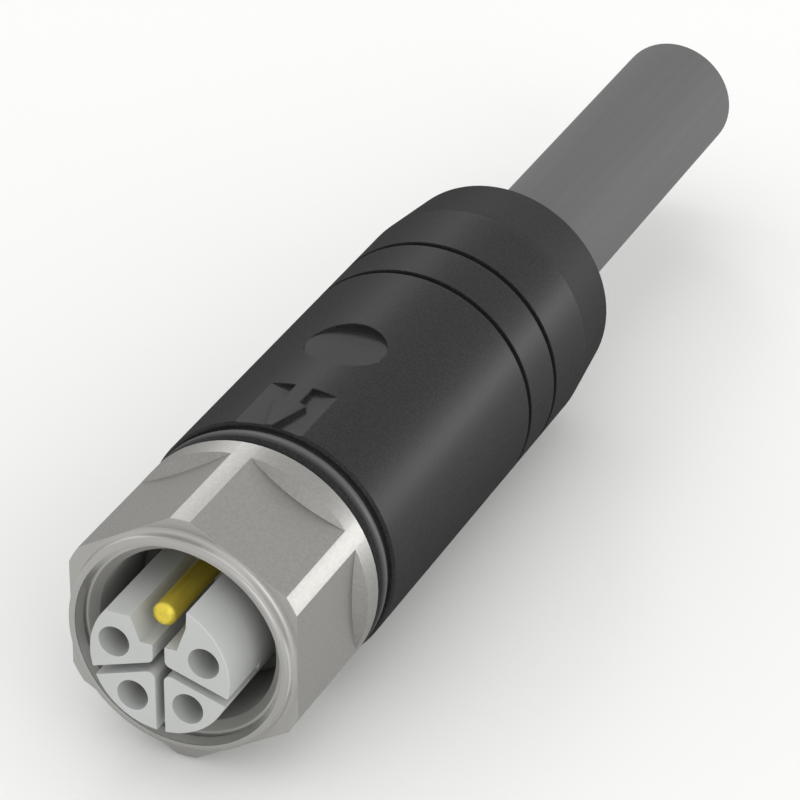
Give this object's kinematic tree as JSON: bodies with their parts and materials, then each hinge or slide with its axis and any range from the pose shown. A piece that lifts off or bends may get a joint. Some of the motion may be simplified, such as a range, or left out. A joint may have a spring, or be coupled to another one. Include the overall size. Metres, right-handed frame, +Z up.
{
  "type": "sensor cable",
  "caption": "Round plug with a spinning hexagonal coupling nut, a slotted socket insert with an earth pin, a moulded grip with an arrow and a short stub of cut cable.",
  "frame": {"origin": "centre of the insert's mating face", "axes": "+Y along the plug's axis from the mating face to the cable, +Z up through the earth pin and the arrow"},
  "size_m": [0.0158, 0.0787, 0.0158],
  "materials": {
    "nickel": "satin nickel plating on turned metal",
    "carrier_plastic": "light grey moulded plastic",
    "holder_plastic": "moulded plastic",
    "seal_rubber": "smooth rubber",
    "gilt": "thin gold plating, polished",
    "inner_mould": "moulded plastic",
    "grip_plastic": "fine matt moulded elastomer",
    "cable_grey": "matt extruded sheath",
    "filler": "twisted cord",
    "copper": "bare stranded copper",
    "earth_core": "green and yellow insulation",
    "brown_core": "brown insulation",
    "black_core": "black insulation",
    "blue_core": "blue insulation",
    "white_core": "white insulation"
  },
  "bodies": {
    "plug": {"contact_carrier": "carrier_plastic", "carrier_seal": "seal_rubber", "contact_holder": "holder_plastic", "earth_pin": "gilt", "pre_mould": "inner_mould", "grip": "grip_plastic", "cable_jacket": "cable_grey", "centre_filler": "filler", "earth_core_insulation": "earth_core", "earth_conductor": "copper", "socket_contact_1": "gilt", "conductor_1": "copper", "socket_contact_2": "gilt", "conductor_2": "copper", "socket_contact_3": "gilt", "conductor_3": "copper", "socket_contact_4": "gilt", "conductor_4": "copper", "core_insulation_1": "brown_core", "core_insulation_2": "black_core", "core_insulation_3": "blue_core", "core_insulation_4": "white_core"},
    "nut": {"union_nut": "nickel"}
  },
  "joints": [
    {"name": "nut_spin", "type": "hinge", "parent": "plug", "child": "nut", "pos_m": [0, 0.00713, 0], "axis": [0, 1, 0], "continuous": true}
  ]
}
